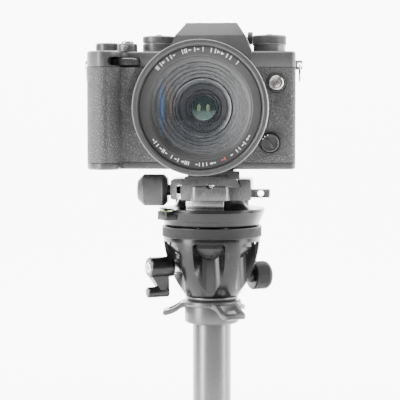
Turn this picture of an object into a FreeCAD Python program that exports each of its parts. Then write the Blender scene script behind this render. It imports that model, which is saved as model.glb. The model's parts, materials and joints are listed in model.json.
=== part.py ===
import FreeCAD, Part
import math
import os
import Sketcher
from types import SimpleNamespace

# A mirrorless camera with a zoom lens, held by a quick-release clamp on a levelling head and a short tripod.
# Millimetres. X runs to the viewer's right, the lens looks towards -Y, Z is up, and the origin lies on the
# floor under the column. Camera, clamp and head are drawn from the camera's base plane; legs from the floor.

doc = FreeCAD.newDocument("CameraOnTripod")
sheet = doc.addObject("Spreadsheet::Sheet", "Sizes")

SIZES = {
    # heights above the floor
    "camera_base": 302.0, "hinge_height": 125.0, "spider_top": 140.0, "column_foot": 62.0,
    # camera body
    "body_left": 78.2, "body_right": 54.0, "body_back": 17.0, "body_front": 17.0, "grip_front": 35.0,
    "grip_edge": 57.0, "cover_base": 65.0, "body_top": 75.0, "hump_top": 93.2,
    "skin": 1.0, "wall": 1.6,
    # lens
    "lens_height": 39.0, "lens_front": 108.5, "front_radius": 39.15, "glass_radius": 29.2,
    "barrel_radius": 33.0, "slide_radius": 31.0,
    # head, all turned about the column's axis
    "ball_centre": 31.0, "ball_radius": 32.3, "neck_radius": 22.3, "rim_radius": 34.5, "housing_radius": 31.5,
    "flute_radius": 10.5,
    # clamp
    "clamp_floor": 11.1, "clamp_bottom": 19.7, "clamp_depth": 40.0, "knob_radius": 10.3,
    # tripod
    "column_radius": 12.5, "collar_radius": 17.8, "hinge_radius": 27.0, "foot_circle": 100.0,
    "leg_width": 10.0, "pin_radius": 2.5,
    # clearances
    "running": 0.05, "gap": 0.3,
}


class Size:
    """A length with its value and the spreadsheet formula that gives it."""

    def __init__(self, value, formula):
        self.value = value
        self.formula = formula

    def _join(self, other, sign, value):
        text = other.formula if isinstance(other, Size) else repr(other)
        return Size(value, f"({self.formula} {sign} {text})")

    def __add__(self, other):
        return self._join(other, "+", self.value + float(other))

    def __sub__(self, other):
        return self._join(other, "-", self.value - float(other))

    def __neg__(self):
        return Size(-self.value, f"(0 - {self.formula})")

    def __float__(self):
        return self.value


for row, (alias, amount) in enumerate(SIZES.items(), start=1):
    sheet.set(f"A{row}", alias)
    sheet.set(f"B{row}", str(amount))
    sheet.setAlias(f"B{row}", alias)
doc.recompute()
d = SimpleNamespace(**{alias: Size(amount, f"Sizes.{alias}") for alias, amount in SIZES.items()})

X_AXIS = FreeCAD.Vector(1, 0, 0)
Y_AXIS = FreeCAD.Vector(0, 1, 0)
Z_AXIS = FreeCAD.Vector(0, 0, 1)
UPRIGHT = FreeCAD.Rotation()
FORWARD = FreeCAD.Rotation(X_AXIS, 90)      # local Z points towards -Y, out of the lens
SIDEWAYS = FreeCAD.Rotation(Y_AXIS, 90)     # local Z points towards +X
BACKWARD = FreeCAD.Rotation(X_AXIS, -90)    # local Z points towards +Y

nodes = {}


def bind(item, prop, amount):
    """Set a property, from the spreadsheet where its amount is a Size."""
    if isinstance(amount, Size):
        item.setExpression(prop, amount.formula)
    else:
        setattr(item, prop, amount)


def put(item, at=(0, 0, 0), turn=UPRIGHT):
    """Place an item, with every spreadsheet coordinate bound."""
    item.Placement = FreeCAD.Placement(FreeCAD.Vector(*(float(c) for c in at)), turn)
    for axis, coordinate in zip("xyz", at):
        if isinstance(coordinate, Size):
            item.setExpression(f"Placement.Base.{axis}", coordinate.formula)
    return item


def box(size, at, turn=UPRIGHT):
    item = doc.addObject("Part::Box", "Block")
    for prop, amount in zip(("Length", "Width", "Height"), size):
        bind(item, prop, amount)
    return put(item, at, turn)


def cylinder(radius, height, at=(0, 0, 0), turn=UPRIGHT):
    item = doc.addObject("Part::Cylinder", "Rod")
    bind(item, "Radius", radius)
    bind(item, "Height", height)
    return put(item, at, turn)


def sphere(radius, at=(0, 0, 0)):
    item = doc.addObject("Part::Sphere", "Ball")
    bind(item, "Radius", radius)
    return put(item, at)


def torus(ring, wire, at=(0, 0, 0), turn=UPRIGHT):
    item = doc.addObject("Part::Torus", "Hoop")
    bind(item, "Radius1", ring)
    bind(item, "Radius2", wire)
    return put(item, at, turn)


def fuse(*items):
    whole = doc.addObject("Part::MultiFuse", "Union")
    whole.Shapes = list(items)
    whole.Refine = True
    return whole


def cut(base, *tools):
    rest = doc.addObject("Part::Cut", "Difference")
    rest.Base = base
    rest.Tool = tools[0] if len(tools) == 1 else fuse(*tools)
    rest.Refine = True
    return rest


def common(first, second):
    shared = doc.addObject("Part::MultiCommon", "Overlap")
    shared.Shapes = [first, second]
    return shared


def arc_between(start, stop, bulge):
    """The arc from start to stop that stands out to the right by its bulge, drawn anticlockwise."""
    half = (stop - start).Length / 2
    radius = (half * half + bulge * bulge) / (2 * abs(bulge))
    side = FreeCAD.Vector(stop.y - start.y, start.x - stop.x, 0).normalize()
    centre = (start + stop) * 0.5 + side * (bulge - math.copysign(radius, bulge))
    first, last = (stop, start) if bulge < 0 else (start, stop)
    angles = [math.atan2(point.y - centre.y, point.x - centre.x) for point in (first, last)]
    if angles[1] < angles[0]:
        angles[1] += 2 * math.pi
    return Part.ArcOfCircle(Part.Circle(centre, Z_AXIS, radius), *angles)


def outline(sketch, points):
    """Draw a closed outline with every corner dimensioned from the sketch's origin.

    A corner is (a, b), or (a, b, bulge) where an arc that stands that far out to the right of the
    way round leads to the next corner.
    """
    corners = [FreeCAD.Vector(float(point[0]), float(point[1]), 0) for point in points]
    count = len(corners)
    starts, stops = [], []
    for index, point in enumerate(points):
        start, stop = corners[index], corners[(index + 1) % count]
        bulge = point[2] if len(point) == 3 else 0
        starts.append(2 if bulge < 0 else 1)
        stops.append(1 if bulge < 0 else 2)
        if bulge:
            number = sketch.addGeometry(arc_between(start, stop, bulge))
            sketch.addConstraint(Sketcher.Constraint("Radius", number, sketch.Geometry[number].Radius))
        else:
            sketch.addGeometry(Part.LineSegment(start, stop))
    for index in range(count):
        following = (index + 1) % count
        sketch.addConstraint(
            Sketcher.Constraint("Coincident", index, stops[index], following, starts[following]))
    for index, point in enumerate(points):
        for kind, amount, axis in (("DistanceX", point[0], -2), ("DistanceY", point[1], -1)):
            if abs(float(amount)) < 1e-9:
                sketch.addConstraint(Sketcher.Constraint("PointOnObject", index, starts[index], axis))
                continue
            number = sketch.addConstraint(
                Sketcher.Constraint(kind, -1, 1, index, starts[index], float(amount)))
            if isinstance(amount, Size):
                sketch.setExpression(f"Constraints[{number}]", amount.formula)


def sketched(body, role, points):
    """Add a sketch of one outline on a body's own origin plane."""
    plane = next(item for item in body.Origin.OriginFeatures if item.Role == role)
    sketch = body.newObject("Sketcher::SketchObject", "Outline")
    sketch.AttachmentSupport = [(plane, "")]
    sketch.MapMode = "FlatFace"
    outline(sketch, points)
    return sketch


def turned(points, at=(0, 0, 0), turn=UPRIGHT):
    """Turn an outline of (radius, height) corners about the body's Z axis."""
    body = doc.addObject("PartDesign::Body", "Turned")
    sketch = sketched(body, "XZ_Plane", points)
    revolution = body.newObject("PartDesign::Revolution", "Revolution")
    revolution.Profile = sketch
    revolution.ReferenceAxis = (sketch, ["V_Axis"])
    revolution.Angle = 360
    body.Tip = revolution
    return put(body, at, turn)


def padded(points, height, at=(0, 0, 0), turn=UPRIGHT):
    """Raise an outline of (x, y) corners along the body's Z axis."""
    body = doc.addObject("PartDesign::Body", "Padded")
    sketch = sketched(body, "XY_Plane", points)
    pad = body.newObject("PartDesign::Pad", "Pad")
    pad.Profile = sketch
    bind(pad, "Length", height)
    body.Tip = pad
    return put(body, at, turn)


def edges_of(item, test):
    """Numbers of the edges that a test picks, found on the item as it stands."""
    doc.recompute()
    return [number for number, edge in enumerate(item.Shape.Edges, start=1) if test(edge)]


def rounded(item, radius, test):
    """Round the edges that a test picks."""
    fillet = doc.addObject("Part::Fillet", "Rounding")
    fillet.Base = item
    fillet.Edges = [(number, float(radius), float(radius)) for number in edges_of(item, test)]
    return fillet


def bevelled(item, size, test):
    """Bevel the edges that a test picks."""
    chamfer = doc.addObject("Part::Chamfer", "Bevel")
    chamfer.Base = item
    chamfer.Edges = [(number, float(size), float(size)) for number in edges_of(item, test)]
    return chamfer


def along(axis):
    """A test for straight edges that run along an axis."""
    def test(edge):
        if edge.Curve.TypeId != "Part::GeomLine":
            return False
        ends = [vertex.Point for vertex in edge.Vertexes]
        return abs((ends[1] - ends[0]).normalize().dot(axis)) > 0.999
    return test


def at_height(level, axis=Z_AXIS):
    """A test for edges that lie in one plane across an axis."""
    def test(edge):
        bounds = edge.BoundBox
        low, high = (bounds.YMin, bounds.YMax) if axis == Y_AXIS else (bounds.ZMin, bounds.ZMax)
        return max(abs(low - float(level)), abs(high - float(level))) < 1e-3
    return test


def round_about(angle, radius, height=0.0):
    """A point at an angle from the front (-Y) towards +X, at a radius and a height."""
    spin = math.radians(angle)
    return (radius * math.sin(spin), -radius * math.cos(spin), height)


def facing(angle):
    """A rotation that points local Z outwards at an angle from the front, while local X stays level."""
    return FreeCAD.Rotation(Z_AXIS, angle).multiply(FORWARD)


def node(name, item, at=(0, 0, d.camera_base), turn=UPRIGHT):
    """Register a finished piece under its name; it stands on the camera's base plane unless told."""
    item.Label = name
    nodes[name] = put(item, at, turn)
    return item


def export():
    """Check every object of the document, then write each piece to its own file."""
    doc.recompute()
    for item in doc.Objects:
        if "Invalid" in item.State or "Error" in item.State:
            raise RuntimeError(f"{item.Label} failed to build: {item.State}")
    for name, item in nodes.items():
        shape = item.Shape
        if shape.isNull() or not shape.isValid() or not shape.Solids:
            raise RuntimeError(f"{name} has no valid solid")
    os.makedirs("parts", exist_ok=True)
    for name, item in nodes.items():
        item.Shape.exportStep(f"parts/{name}.step")
    print(f"{len(nodes)} pieces written")


# ---- tripod: a hub with three folding legs and a sliding column -------------------------------------------

FLOOR = (0, 0, 0)
HUB_BOTTOM = 112.0
LEG_ANGLES = {"front_left": -60, "front_right": 60, "rear": 180}
LEG_SPREAD = math.degrees(math.atan2(SIZES["foot_circle"] - SIZES["hinge_radius"], SIZES["hinge_height"] - 9))
LEG_LENGTH = 128.0
LOBE_ANGLES = (-87, 33, 153)


def beside(angle, across, out, height):
    """A point seen from a leg: across it, out from the column's axis and up from the floor."""
    return tuple(FreeCAD.Rotation(Z_AXIS, angle).multVec(FreeCAD.Vector(across, -out, height)))


def hub():
    body = turned([(5, HUB_BOTTOM), (19, HUB_BOTTOM), (21, HUB_BOTTOM + 2), (21, d.spider_top - 2),
                   (19, d.spider_top), (5, d.spider_top)])
    solids = [body]
    voids = [cylinder(d.column_radius + d.running, 60, (0, 0, 100)),
             cylinder(4, 30, (0, 0, 126), facing(120)), cylinder(2.6, 10, (0, -15, 126), FORWARD)]
    hinge_out, hinge_up = SIZES["hinge_radius"], SIZES["hinge_height"]
    for angle in LEG_ANGLES.values():
        spin = FreeCAD.Rotation(Z_AXIS, angle)
        across = spin.multiply(SIDEWAYS)
        solids.append(box((20, 15, 15), beside(angle, -10, hinge_out, hinge_up - 7.5), spin))
        solids.append(cylinder(7.5, 20, beside(angle, -10, hinge_out, hinge_up), across))
        voids.append(box((10.4, 20.2, 50), beside(angle, -5.2, 40, 95), spin))
        voids.append(cylinder(d.pin_radius, 30, beside(angle, -15, hinge_out, hinge_up), across))
    node("spider", cut(fuse(*solids), *voids), FLOOR)
    bolts = []
    for angle in LEG_ANGLES.values():
        across = FreeCAD.Rotation(Z_AXIS, angle).multiply(SIDEWAYS)
        bolts.append(fuse(cylinder(d.pin_radius, 24, beside(angle, -12, hinge_out, hinge_up), across),
                          cylinder(4.4, 2, beside(angle, -12, hinge_out, hinge_up), across),
                          cylinder(4.4, 2, beside(angle, 10, hinge_out, hinge_up), across)))
    node("leg_bolts", fuse(*bolts), FLOOR)


def column_lock():
    profile = [(0, 13.0), (3.95, 13.0), (3.95, 21.8), (6.5, 21.8), (8.5, 24), (9, 25), (9, 34), (7.5, 36),
               (0, 36)]
    node("column_knob", turned(profile), (0, 0, 126), facing(120))


def legs():
    for side, angle in LEG_ANGLES.items():
        lean = FreeCAD.Rotation(Z_AXIS, angle).multiply(FreeCAD.Rotation(X_AXIS, -LEG_SPREAD))
        hinge = round_about(angle, SIZES["hinge_radius"], SIZES["hinge_height"])
        tube = box((16, 13, LEG_LENGTH - 16), (-8, -6.5, -LEG_LENGTH))
        tube = rounded(tube, 4, along(Z_AXIS))
        tongue = fuse(box((d.leg_width, 13, 18), (-5, -6.5, -18)),
                      cylinder(6.5, d.leg_width, (-5, 0, 0), SIDEWAYS))
        bore = cylinder(d.pin_radius + d.running, 30, (-15, 0, 0), SIDEWAYS)
        leg = node(f"leg_{side}", cut(fuse(tube, tongue), bore), hinge, lean)
        profile = [(0, 0), (6, 0), (8.6, 2.2), (10.8, 8), (10.6, 17), (9.8, 22), (0, 22)]
        node(f"foot_{side}", cut(turned(profile, round_about(angle, SIZES["foot_circle"] - 2)), leg), FLOOR)


def column():
    low = d.column_foot - d.camera_base
    inside = d.column_radius - 2
    node("column_tube", turned([(0, low), (d.column_radius, low), (d.column_radius, -89), (inside, -89),
                                (inside, low + 3), (0, low + 3)]))
    node("plate_collar", turned([(d.column_radius, -100.6), (d.collar_radius - 1.4, -100.6),
                                 (d.collar_radius, -99.2), (d.collar_radius, -89), (d.column_radius, -89)]))
    centre = turned([(0, -89), (18.6, -89), (19.4, -88), (19.0, -86.2), (18.2, -85.6), (0, -85.6)])
    lobes, windows = [centre], []
    side = [(8, -89, -0.5), (20, -90.5, 0.8), (30.5, -95.4), (32, -94.6), (31.6, -92.4, -1.0), (20, -87),
            (8, -85.6)]
    for angle in LOBE_ANGLES:
        out = FreeCAD.Rotation(Z_AXIS, angle - 90)
        ridge = padded(side, 34, tuple(out.multVec(FreeCAD.Vector(0, 17, 0))), out.multiply(FORWARD))
        plan = [(6, -18, -3), (24, -8.4), (30, -7.8), (33, -5), (33, 5), (30, 7.8), (24, 8.4, -3), (6, 18)]
        trim = padded(plan, 20, (0, 0, -100), out)
        lobes.append(common(ridge, trim))
        windows.append(box((7.5, 10.4, 20), tuple(out.multVec(FreeCAD.Vector(20.6, -5.2, -100))), out))
    recess = cylinder(d.collar_radius, 20, (0, 0, -109))
    node("top_plate", cut(fuse(*lobes), *windows, recess))
    node("head_seat", turned([(0, -85.6), (15.5, -85.6), (17, -84.2), (17, -83), (0, -83)]))


# ---- levelling head: a fluted housing, a ball on a friction washer and a dish that tilts two ways ---------

SEAT_CLEARANCE = 1.4
LEVER_ANGLE, LEVER_HEIGHT = -60, -62.7
PAN_ANGLE, PAN_HEIGHT = 120, -71.5
PAD_ANGLES = (-9, 111, -129)
VIAL_ANGLE, VIAL_OUT = -51, 34.2


def head_housing():
    shell = turned([(0, -83), (17.2, -83, 2.7), (d.housing_radius, -46.5), (d.housing_radius, -44), (0, -44)])
    voids = [sphere(d.ball_radius + SEAT_CLEARANCE, (0, 0, -d.ball_centre)), cylinder(27.8, 20, (0, 0, -50))]
    for angle in range(0, 360, 60):
        flute = cylinder(d.flute_radius, 60, round_about(angle, 31, -106.8))
        voids.append(rounded(flute, 2.5, at_height(-46.8)))
    voids.append(cylinder(4.9, 12, round_about(LEVER_ANGLE, 19, LEVER_HEIGHT), facing(LEVER_ANGLE)))
    voids.append(cylinder(4.5 + 0.05, 12, round_about(PAN_ANGLE, 16, PAN_HEIGHT), facing(PAN_ANGLE)))
    node("head_housing", cut(shell, *voids))
    node("knurled_collar", turned([(31, -44), (32.4, -44), (32.4, -37.2), (31.9, -37.2), (31, -38.1)]))


def head_controls():
    bushing = cylinder(4.9, 10.3, round_about(LEVER_ANGLE, 19, LEVER_HEIGHT), facing(LEVER_ANGLE))
    node("brake_bushing", cut(bushing, sphere(d.ball_radius + 1.5, (0, 0, -d.ball_centre))))
    barrel = bevelled(cylinder(6.6, 15.7, (0, 0, 29.3)), 0.8, at_height(45))
    finger = bevelled(cylinder(3.5, 14.2, (0, -16, 31.8)), 0.6, at_height(46))
    arm = padded([(32, -4), (32, -15), (38, -14.5), (44.4, -5)], 6.4, (3.2, 0, 0),
                 FreeCAD.Rotation(Y_AXIS, -90))
    bore = cylinder(3.4, 20, (0, 0, 28))
    spot = (0, 0, d.camera_base + LEVER_HEIGHT)
    node("lock_lever", cut(fuse(barrel, finger, arm), bore), spot, facing(LEVER_ANGLE))
    bolt = bevelled(cylinder(3.4, 16.2, (0, 0, 29.4)), 0.6, at_height(45.6))
    node("lever_bolt", bolt, spot, facing(LEVER_ANGLE))
    pan = [(0, 17), (4.5, 17), (4.5, 28.9), (8.6, 28.9), (9.4, 29.7), (9.4, 38.6), (8.6, 40.6), (6.6, 41.8),
           (0, 41.8)]
    node("pan_knob", turned(pan), (0, 0, d.camera_base + PAN_HEIGHT), facing(PAN_ANGLE))


def ball_and_dish():
    centre = (0, 0, -d.ball_centre)
    above = box((100, 100, 60), (-50, -50, -52.5))
    washer = cut(sphere(33.4, centre), sphere(32.6, centre), above, cylinder(6, 20, (0, 0, -70)))
    node("friction_washer", washer)
    cap = cut(sphere(d.ball_radius, centre), sphere(28, centre), above)
    node("level_ball", fuse(cap, cylinder(10, 31.5, (0, 0, -60.5))))
    dish = turned([(0, -29), (10, -29), (27.8, -30.6), (29.2, -36.6), (30.7, -36.6), (31.7, -33.1), (32, -33),
                   (34.2, -27.2), (33.3, -27), (33.3, -26.5), (d.rim_radius, -26.2), (d.rim_radius, -25.6),
                   (29, -25.2, -1.6), (d.neck_radius, -20), (0, -20)])
    tab = rounded(box((12.4, 14.4, 5.5), (-6.2, -39.4, -32)), 2.5, along(Z_AXIS))
    put(tab, (0, 0, 0), FreeCAD.Rotation(Z_AXIS, VIAL_ANGLE))
    voids = [cylinder(4.3, 6, round_about(VIAL_ANGLE, VIAL_OUT, -29.2))]
    pads = []
    for angle in PAD_ANGLES:
        spin = FreeCAD.Rotation(Z_AXIS, angle)
        voids.append(box((29, 20, 5.2), spin.multVec(FreeCAD.Vector(-14.5, -37.5, -25)), spin))
        pads.append(box((24.6, 3.8, 5), spin.multVec(FreeCAD.Vector(-12.3, -21.3, -25)), spin))
    under = turned([(0, -31), (27.6, -31), (29.2, -37), (0, -37)])
    node("level_platform", cut(fuse(dish, cut(tab, under)), *voids))
    node("platform_pads", fuse(*pads))
    node("bubble_level", cylinder(4.3, 2.9), round_about(VIAL_ANGLE, VIAL_OUT, SIZES["camera_base"] - 29.2))


# ---- quick-release clamp and the dovetail plate under the camera ------------------------------------------

JAW_TOP = -6.4
SCREW_HEIGHT = -14.2
CLAMP_HALF = 20.0


def clamp():
    floor, bottom = -d.clamp_floor, -d.clamp_bottom
    lying = FreeCAD.Rotation(X_AXIS, 90)
    profile = [(-18.8, bottom), (25.4, bottom), (26.1, bottom + 0.7), (26.1, -8.4, 0.7), (24.1, JAW_TOP),
               (17.7, JAW_TOP), (19.7, floor), (-18.8, floor)]
    block = padded(profile, d.clamp_depth, (0, CLAMP_HALF, 0), lying)
    nose = rounded(box((25.5, 14, 8.6), (-12.8, -25.5, bottom)), 5, lambda edge: along(Z_AXIS)(edge)
                   and edge.Vertexes[0].Point.y < -20)
    tongue = rounded(box((13, 9, 5.3), (25, -12, -18.3)), 1.2, lambda edge: edge.BoundBox.XMin > 37)
    voids = [cylinder(2.5, 36, (-19.5, 0, SCREW_HEIGHT), SIDEWAYS), box((3.6, 60, 1.6), (-1.6, -30, -12.1)),
             cylinder(2.0, 12, (32, -1, -15.65), FORWARD)]
    node("clamp_body", cut(fuse(block, nose, tongue), *voids))
    hook = [(-25.2, -17.9, 0.4), (-23.7, -19.4), (-21.3, -19.4), (-21.3, -9.9), (-18.2, -9.9),
            (-16.7, JAW_TOP), (-23.7, JAW_TOP, 0.4), (-25.2, -7.9)]
    jaw = padded(hook, d.clamp_depth, (0, CLAMP_HALF, 0), lying)
    node("clamp_jaw", cut(jaw, cylinder(2.6, 10, (-28, 0, SCREW_HEIGHT), SIDEWAYS)))
    knob = [(0, -48.4), (6.3, -48.4), (d.knob_radius, -44.4), (d.knob_radius, -31.1), (7.7, -28.5),
            (3.4, -28.5), (4.2, -25.3), (2.45, -25.3), (2.45, 13), (0, 13)]
    node("clamp_knob", turned(knob), (0, 0, d.camera_base + SCREW_HEIGHT), SIDEWAYS)


def release_plate():
    lying = FreeCAD.Rotation(X_AXIS, 90)
    profile = [(-17.9, -11.1), (18.9, -11.1), (19.3, -10.7), (16.5, -4.7), (-15.7, -4.7), (-18.3, -10.7)]
    wedge = padded(profile, 48, (0, 24, 0), lying)
    riser = box((29, 42, 4.7), (-14, -21, -4.7))
    stop = box((7, 5, 5), (12, -24, -6))
    voids = [box((5, 60, 1.6), (-2, -30, -11.1)), cylinder(3.2, 20, (0, 0, -15)),
             cylinder(6.2, 4.2, (0, 0, -11.1))]
    node("release_plate", cut(fuse(wedge, riser, stop), *voids))
    screw = [(0, -10.9), (6.1, -10.9), (6.1, -6.9), (3.15, -6.9), (3.15, 3.4), (0, 3.4)]
    node("plate_screw", turned(screw))


# ---- camera body: shells, covers, controls ----------------------------------------------------------------

MOUNT_OPENING = 27.0


def plan(inset):
    """The body's outline seen from above, with the grip at the left, moved inwards by an inset."""
    left, right = -(d.body_left - inset), d.body_right - inset
    front, back = -(d.body_front - inset), d.body_back - inset
    grip = -(d.grip_front - inset)
    step = -(d.grip_edge + inset)
    return [(left, -19 + inset * 0.5, 2.6), (left + 8, grip, 1.2), (step - 7, grip, 2.2), (step, -25, -1.5),
            (step + 5, front), (right - 3, front, 0.7), (right, front + 3), (right, 9, 2.0),
            (right - 7, back), (left + 12, back, 3.4), (left, 6)]


def slab(inset, low, high):
    """A layer of the body between two heights."""
    return padded(plan(inset), high - low, (0, 0, low))


def bevel_layer(low_inset, high_inset, low, high):
    """A thin layer whose outline shrinks or grows on its way up, for the bevel along a cover's edge."""
    sections = []
    for inset, level in ((low_inset, low), (high_inset, high)):
        sketch = doc.addObject("Sketcher::SketchObject", "Outline")
        outline(sketch, plan(inset))
        sections.append(put(sketch, (0, 0, level)))
    loft = doc.addObject("Part::Loft", "BevelLayer")
    loft.Sections = sections
    loft.Solid = True
    loft.Ruled = True
    return loft


def lens_bore(radius, depth=60, start=-60):
    """A round bar through the body's front on the lens axis."""
    return cylinder(radius, depth, (0, start + depth, d.lens_height), FORWARD)


def body_shells():
    base = fuse(bevel_layer(0.9, 0.0, 0, 0.9), slab(0.0, 0.9, 4))
    node("bottom_cover", cut(base, cylinder(3.15, 10, (0, 0, -2)), box((24, 20, 6), (-76, -11, -1))))
    middle = cut(slab(SIZES["skin"], 4, 65), slab(SIZES["skin"] + SIZES["wall"], 6, 63))
    front_half = box((200, 60, 80), (-100, -60, 0))
    rear_half = box((200, 60, 80), (-100, 0, 0))
    openings = [lens_bore(MOUNT_OPENING), cylinder(3.6, 8, (41.9, -13, 55), FORWARD),
                cylinder(3.6, 8, (38, -13, 16.9), FORWARD)]
    node("front_casing", cut(common(middle, front_half), *openings))
    back_shell = common(cut(slab(0.0, 4, 65), slab(SIZES["skin"] + SIZES["wall"], 6, 63)), rear_half)
    node("rear_casing", cut(back_shell, box((79.5, 10, 54), (-46.5, 15.4, 7)),
                            cylinder(7.3, 12, (-62, 12, 30), BACKWARD)))
    skin = cut(common(slab(0.0, 4.3, 64.7), front_half), slab(SIZES["skin"], 4, 65), lens_bore(36.6),
               cylinder(6.4, 12, (41.9, -8, 55), FORWARD), cylinder(7.2, 12, (38, -8, 16.9), FORWARD))
    node("body_covering", skin)


def top_cover():
    low, deck_top = SIZES["cover_base"], SIZES["body_top"]
    deck = fuse(slab(0.0, low, deck_top - 1), bevel_layer(0.0, 1.0, deck_top - 1, deck_top))
    face = [(-26.4, low), (26, low), (26, deck_top), (22.2, 85), (17.6, 91.6), (16.7, d.hump_top),
            (-16.0, d.hump_top), (-16.8, 91.6), (-22.4, 85), (-26.4, deck_top)]
    hump = padded(face, 46, (0, 27, 0), FreeCAD.Rotation(X_AXIS, 90))
    side = [(-19, low), (28, low), (28, 82), (22, d.hump_top + 0.2), (-12.5, d.hump_top + 0.2),
            (-18.4, 85), (-19, deck_top)]
    slope = padded(side, 60, (-30, 0, 0), FreeCAD.Rotation(Z_AXIS, 90).multiply(FreeCAD.Rotation(X_AXIS, 90)))
    hump = common(hump, slope)
    shoe = box((18.6, 19, 2.4), (-9.8, -2, d.hump_top - 2.2))
    slot = box((21, 19, 1.6), (-11, -2.6, d.hump_top - 1.9))
    voids = [shoe, slot, box((23, 20, 15), (-12, 12, 69)), lens_bore(36.6),
             rounded(box((18.8, 26.5, 5.6), (-63.4, -40, 65.5)), 2.5, along(Y_AXIS)),
             cylinder(9.4, 5.6, (-54, -13.5, 65.5)), cylinder(9.1, 4.4, (-36, 10.5, 66.2)),
             cylinder(2.6, 12, (-54, -9, 68)), cylinder(11.2, 20, (-34.5, 2, 75))]
    hollow = padded([(-20, 67), (19.5, 67), (19.5, 76), (15, 86), (-15.6, 86), (-20, 76)], 24, (0, 14, 0),
                    FreeCAD.Rotation(X_AXIS, 90))
    node("top_cover", cut(fuse(deck, hump), *voids, hollow))


def camera_controls():
    lugs = []
    for side, name in ((-1, "left"), (1, "right")):
        edge = SIZES[f"body_{name}"]
        eye = side * (edge + 2.6)
        plate = rounded(box((5, 3, 6), (side * (edge + 1.9) - 2.5, -1.5, 63.6)), 1.2, along(Y_AXIS))
        lugs.append(cut(plate, cylinder(1.5, 8, (eye, -4, 66.5), BACKWARD)))
        node(f"strap_ring_{name}", torus(5.0, 0.75), (eye, 0, d.camera_base + 61.5), SIDEWAYS)
    node("strap_lugs", cut(fuse(*lugs), slab(0.0, 60, 72)))
    tall = [(0, 75), (10.0, 75), (10.75, 75.7), (10.75, 80.1), (10.3, 80.6), (10.3, 81.0), (10.75, 81.5),
            (10.75, 84.8), (10.1, 85.4), (2.2, 85.4), (2.2, 86.4), (0, 86.4)]
    node("shutter_dial", turned(tall), (-34.5, 2, d.camera_base))
    iso = [(0, 75), (10.4, 75), (10.4, 79), (10.85, 79.5), (10.85, 85.2), (10.2, 85.8), (2.2, 85.8),
           (2.2, 86.7), (0, 86.7)]
    node("iso_dial", turned(iso), (37, 2, d.camera_base))
    node("exposure_dial", turned([(0, 75), (7.0, 75), (7.75, 75.6), (7.75, 80.7), (7.1, 81.3), (0, 81.3)]),
         (-68.8, 6, d.camera_base))
    collar = fuse(turned([(4.3, 75), (6.5, 75), (6.5, 79.6), (6.0, 80.3), (4.3, 80.3)]),
                  box((3, 4, 2.2), (-1.5, -9.6, 76.4)))
    node("power_lever", collar, (-54, -9, d.camera_base))
    node("shutter_button", turned([(0, 71.8), (2.3, 71.8), (2.3, 76.5), (4.0, 76.5), (4.0, 81.2), (3.3, 81.9),
                                   (2.4, 81.4), (0, 81.4)]), (-54, -9, d.camera_base))
    node("front_dial", turned([(0, 65.9), (8.4, 65.9), (9.0, 66.5), (9.0, 70.1), (8.4, 70.7), (0, 70.7)]),
         (-54, -13.5, d.camera_base))
    node("rear_dial", turned([(0, 66.5), (8.2, 66.5), (8.7, 67), (8.7, 69.8), (8.2, 70.3), (0, 70.3)]),
         (-36, 10.5, d.camera_base))
    node("focus_selector", turned([(0, 13.2), (3.4, 13.2), (3.4, 17.1), (5.8, 17.1), (5.8, 20.2), (5.2, 20.8),
                                   (0, 20.8)]), (38, 0, d.camera_base + 16.9), FORWARD)
    node("sync_cap", turned([(0, 13.2), (3.4, 13.2), (3.4, 17.1), (4.6, 17.1), (4.6, 18.2), (4.1, 18.7),
                             (0, 18.7)]), (41.9, 0, d.camera_base + 55), FORWARD)
    cup = rounded(box((33, 4, 22), (-16.8, 28, 66)), 4, along(Y_AXIS))
    node("eyecup", cut(cup, box((22, 6, 14), (-11.5, 27, 69.6))))
    glass = cut(box((22.6, 9, 14.6), (-11.8, 18, 69.2)), box((19, 2, 11), (-10, 26, 71)))
    node("viewfinder_lens", glass)
    node("image_sensor", box((40, 17.4, 30), FLOOR), (-20, -3, d.camera_base + 24))
    panel = bevelled(box((78.6, 3, 53), (-46.1, 15.7, 7.5)), 0.6, at_height(18.7, Y_AXIS))
    node("rear_screen", panel)
    node("battery_door", box((23.4, 19.4, 2), FLOOR), (-75.7, -10.7, d.camera_base + 0.1))
    pad = turned([(0, 14.6), (7.0, 14.6), (7.0, 17.6), (6.4, 18.3), (3.4, 18.3), (3.1, 17.9), (0, 17.9)])
    node("menu_pad", pad, (-62, 0, d.camera_base + 30), BACKWARD)


# ---- zoom lens, every ring turned about the lens axis, distances measured forward from the film plane -----

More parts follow.
